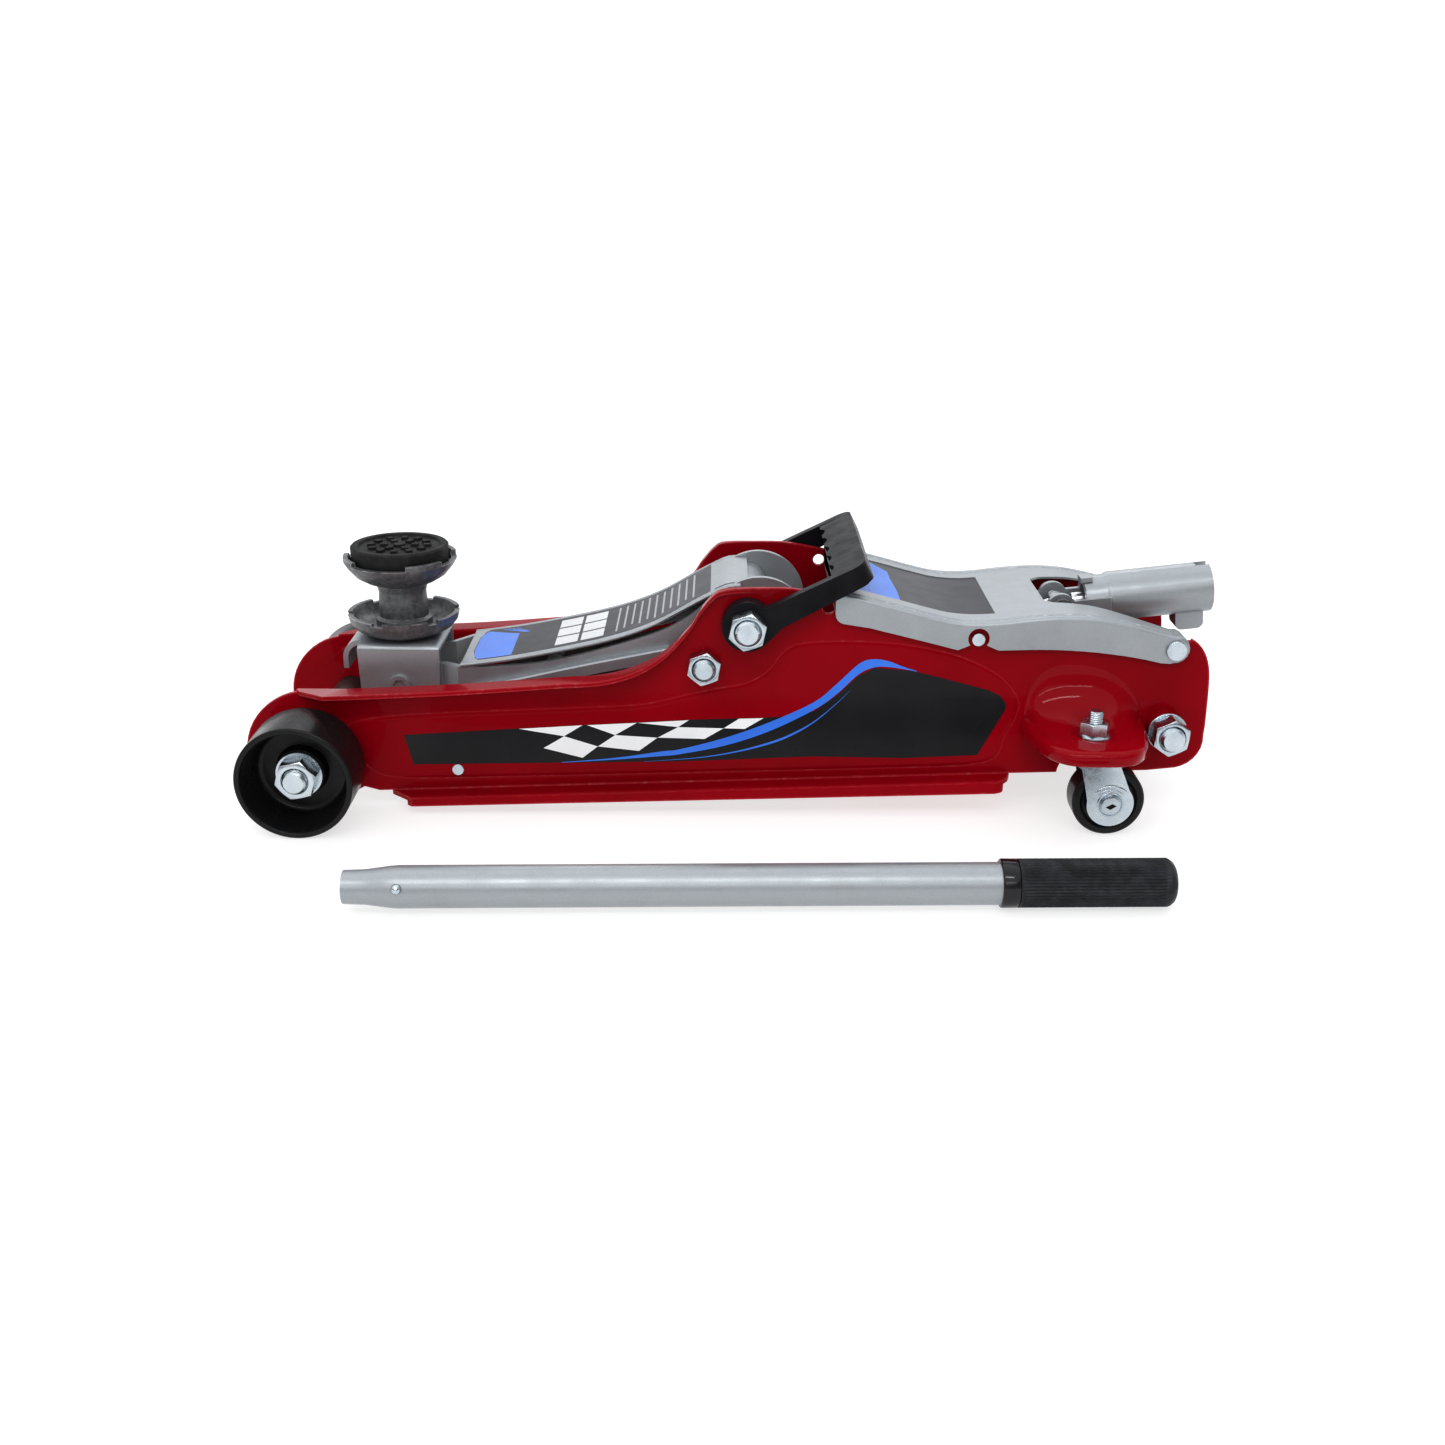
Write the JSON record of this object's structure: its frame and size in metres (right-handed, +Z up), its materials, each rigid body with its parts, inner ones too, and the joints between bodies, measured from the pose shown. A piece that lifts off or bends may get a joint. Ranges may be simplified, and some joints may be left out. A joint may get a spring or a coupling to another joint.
{
  "type": "trolley jack",
  "caption": "Low hydraulic trolley jack: lift arm with rubber-topped saddle, wheels and castors, carry handle, handle socket and a loose pump handle.",
  "frame": {"origin": "on the floor, below the middle of the box round the jack and its loose handle", "axes": "+X to the rear, where the handle socket is; +Z up; the pump handle lies on the -Y side"},
  "size_m": [0.6507, 0.3496, 0.1744],
  "materials": {
    "red_paint": "gloss powder coat",
    "silver_paint": "satin silver paint",
    "zinc": "bright zinc plate",
    "dark_steel": "oiled dark steel",
    "cast_block": "cast and painted",
    "ground_steel": "ground and polished",
    "spring_steel": "zinc-plated wire",
    "wheel_black": "gloss black",
    "pad_rubber": "matt moulded rubber",
    "carry_plastic": "satin moulded plastic",
    "grip_rubber": "ribbed soft grip"
  },
  "bodies": {
    "frame": {"side_plate_left": "red_paint", "side_plate_right": "red_paint", "bottom_tie_plate": "red_paint", "front_axle": "zinc", "front_axle_tubes": "dark_steel", "front_wheel_nuts": "zinc", "main_pivot_shaft": "zinc", "main_pivot_nuts": "zinc", "pivot_spacers": "dark_steel", "link_anchor_bolt": "zinc", "link_anchor_nuts": "zinc", "stop_rod": "zinc", "spring_studs": "zinc", "rear_cross_bolt": "zinc", "rear_spacer_tubes": "red_paint", "rear_nuts": "zinc", "rear_cover": "silver_paint", "cover_screws": "zinc", "castor_brackets": "red_paint", "castor_kingpins": "zinc", "castor_nuts": "zinc", "castor_bearings": "dark_steel", "power_unit_base": "cast_block", "ram_cylinder": "ground_steel", "reservoir_tube": "red_paint", "cylinder_gland": "ground_steel", "return_springs": "spring_steel", "pump_barrel": "ground_steel", "pump_spring": "spring_steel", "plug_screws": "dark_steel", "socket_pivot_bolts": "zinc"},
    "front_wheel_left": {"front_wheel_left": "wheel_black"},
    "front_wheel_right": {"front_wheel_right": "wheel_black"},
    "castor_left": {"castor_fork_left": "zinc", "castor_axle_left": "zinc"},
    "castor_right": {"castor_fork_right": "zinc", "castor_axle_right": "zinc"},
    "castor_wheel_left": {"castor_wheel_left": "wheel_black"},
    "castor_wheel_right": {"castor_wheel_right": "wheel_black"},
    "lift_arm": {"arm_side_plates": "silver_paint", "arm_cover_sheet": "silver_paint", "arm_hub_tube": "silver_paint", "arm_tie_bar": "dark_steel", "crank_pin": "dark_steel"},
    "saddle_holder": {"saddle_holder": "silver_paint", "holder_pins": "silver_paint"},
    "saddle": {"saddle_cup": "silver_paint"},
    "adapter": {"saddle_adapter": "silver_paint", "saddle_pad": "pad_rubber"},
    "leveling_links": {"leveling_links": "dark_steel"},
    "ram": {"ram_rod": "ground_steel"},
    "pump_plunger": {"pump_plunger": "ground_steel"},
    "release_valve": {"release_valve_stem": "dark_steel"},
    "handle_socket": {"handle_socket": "silver_paint"},
    "release_coupling": {"release_coupling": "dark_steel"},
    "plunger_roller": {"plunger_roller": "dark_steel"},
    "carry_handle": {"carry_handle": "carry_plastic"},
    "pump_handle": {"handle_tube": "silver_paint", "handle_grip": "grip_rubber"},
    "handle_button": {"handle_button": "zinc"}
  },
  "joints": [
    {"name": "lift_arm_hinge", "type": "hinge", "parent": "frame", "child": "lift_arm", "pos_m": [0.0082, 0.0508, 0.1314], "axis": [0, 1, 0], "range_deg": [0, 60], "deforming": ["return_springs"]},
    {"name": "saddle_holder_hinge", "type": "hinge", "parent": "lift_arm", "child": "saddle_holder", "pos_m": [-0.2268, 0.0508, 0.0755], "axis": [0, 1, 0], "range_deg": [-60, 0]},
    {"name": "leveling_link_hinge", "type": "hinge", "parent": "frame", "child": "leveling_links", "pos_m": [-0.0197, 0.0508, 0.1016], "axis": [0, 1, 0], "range_deg": [0, 60]},
    {"name": "ram_slide", "type": "slide", "parent": "frame", "child": "ram", "axis": [-1, 0, 0], "range_m": [0, 0.06]},
    {"name": "saddle_swivel", "type": "hinge", "parent": "saddle_holder", "child": "saddle", "pos_m": [-0.2268, 0.0508, 0.104], "axis": [0, 0, 1], "continuous": true},
    {"name": "adapter_lift_off", "type": "slide", "parent": "saddle", "child": "adapter", "axis": [0, 0, 1], "range_m": [0, 0.05]},
    {"name": "socket_hinge", "type": "hinge", "parent": "frame", "child": "handle_socket", "pos_m": [0.221, 0.0508, 0.128], "axis": [0, -1, 0], "range_deg": [0, 65]},
    {"name": "pump_plunger_slide", "type": "slide", "parent": "frame", "child": "pump_plunger", "axis": [0, 0, 1], "range_m": [0, 0.0183], "deforming": ["pump_spring"]},
    {"name": "release_valve_turn", "type": "hinge", "parent": "frame", "child": "release_valve", "pos_m": [0.221, 0.0508, 0.128], "axis": [0.9397, 0, 0.342], "range_deg": [0, 150]},
    {"name": "release_coupling_turn", "type": "hinge", "parent": "handle_socket", "child": "release_coupling", "pos_m": [0.221, 0.0508, 0.128], "axis": [0.9936, 0, 0.1132], "range_deg": [0, 150]},
    {"name": "plunger_roller_spin", "type": "hinge", "parent": "handle_socket", "child": "plunger_roller", "pos_m": [0.23534, 0.0508, 0.11887], "axis": [0, 1, 0], "continuous": true},
    {"name": "front_wheel_left_spin", "type": "hinge", "parent": "frame", "child": "front_wheel_left", "pos_m": [-0.2814, -0.0422, 0.038], "axis": [0, 1, 0], "continuous": true},
    {"name": "front_wheel_right_spin", "type": "hinge", "parent": "frame", "child": "front_wheel_right", "pos_m": [-0.2814, 0.1438, 0.038], "axis": [0, 1, 0], "continuous": true},
    {"name": "castor_left_swivel", "type": "hinge", "parent": "frame", "child": "castor_left", "pos_m": [0.232, -0.0422, 0.0535], "axis": [0, 0, 1], "continuous": true},
    {"name": "castor_wheel_left_spin", "type": "hinge", "parent": "castor_left", "child": "castor_wheel_left", "pos_m": [0.243, -0.0422, 0.0235], "axis": [0, 1, 0], "continuous": true},
    {"name": "castor_right_swivel", "type": "hinge", "parent": "frame", "child": "castor_right", "pos_m": [0.232, 0.1438, 0.0535], "axis": [0, 0, 1], "continuous": true},
    {"name": "castor_wheel_right_spin", "type": "hinge", "parent": "castor_right", "child": "castor_wheel_right", "pos_m": [0.243, 0.1438, 0.0235], "axis": [0, 1, 0], "continuous": true},
    {"name": "carry_handle_hinge", "type": "hinge", "parent": "frame", "child": "carry_handle", "pos_m": [0.0082, 0.0508, 0.1314], "axis": [0, -1, 0], "range_deg": [0, 65]},
    {"name": "pump_handle_lift_off", "type": "slide", "parent": "frame", "child": "pump_handle", "axis": [0, 0, 1], "range_m": [0, 0.15]},
    {"name": "handle_button_press", "type": "slide", "parent": "pump_handle", "child": "handle_button", "axis": [-0.0213, 0.9395, -0.342], "range_m": [0, 0.003], "stiffness_N_per_m": 200, "springref_m": -0.004}
  ],
  "couplings": [
    {"joint": "saddle_holder_hinge", "follows": "lift_arm_hinge", "ratio": -1},
    {"joint": "leveling_link_hinge", "follows": "lift_arm_hinge", "ratio": 1},
    {"joint": "ram_slide", "follows": "lift_arm_hinge", "m_per_rad": 0.05729},
    {"joint": "pump_plunger_slide", "follows": "socket_hinge", "m_per_rad": 0.0161},
    {"joint": "release_coupling_turn", "follows": "release_valve_turn", "ratio": 1}
  ]
}
